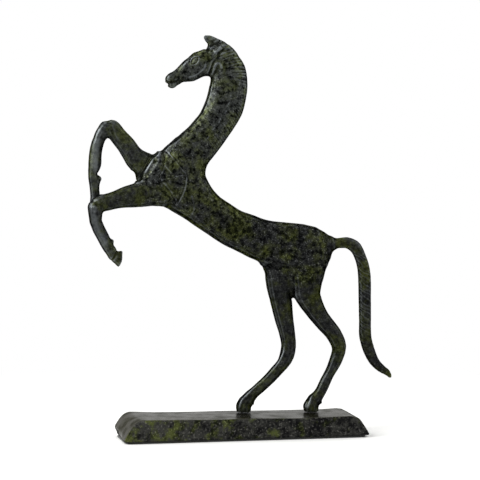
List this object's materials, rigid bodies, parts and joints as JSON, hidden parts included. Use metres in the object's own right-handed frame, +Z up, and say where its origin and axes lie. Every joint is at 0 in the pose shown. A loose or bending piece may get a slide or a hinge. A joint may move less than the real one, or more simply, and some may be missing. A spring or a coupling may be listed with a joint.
{
  "type": "horse sculpture",
  "caption": "Rearing horse figure in patinated cast bronze with raised forelegs and a grooved mane, bolted by its hind hooves to a long bar base with sloped ends.",
  "frame": {"origin": "middle of the felt's underside, where the sculpture stands on a surface", "axes": "+Z up; the horse's head points to -X and its tail to +X; -Y is the horse's near side, which faces the viewer"},
  "size_m": [0.1569, 0.032, 0.2011],
  "materials": {
    "figure_bronze": "dark satin bronze with an olive and blue-black patina",
    "base_bronze": "satin rubbed top, dark mottled patina on the sides",
    "steel": "plain turned steel",
    "felt": "dark green felt"
  },
  "bodies": {
    "root": {"base_casting": "base_bronze", "felt_pad": "felt", "torso_casting": "figure_bronze", "neck_and_head_casting": "figure_bronze", "near_foreleg_casting": "figure_bronze", "far_foreleg_casting": "figure_bronze", "near_hind_leg_casting": "figure_bronze", "far_hind_leg_casting": "figure_bronze", "tail_casting": "figure_bronze", "neck_dowel": "steel", "near_foreleg_dowel": "steel", "far_foreleg_dowel": "steel", "near_hind_dowel": "steel", "far_hind_dowel": "steel", "tail_dowel": "steel", "near_hoof_stud": "steel", "far_hoof_stud": "steel", "near_hoof_washer": "steel", "far_hoof_washer": "steel", "near_hoof_nut": "steel", "far_hoof_nut": "steel"}
  },
  "joints": []
}
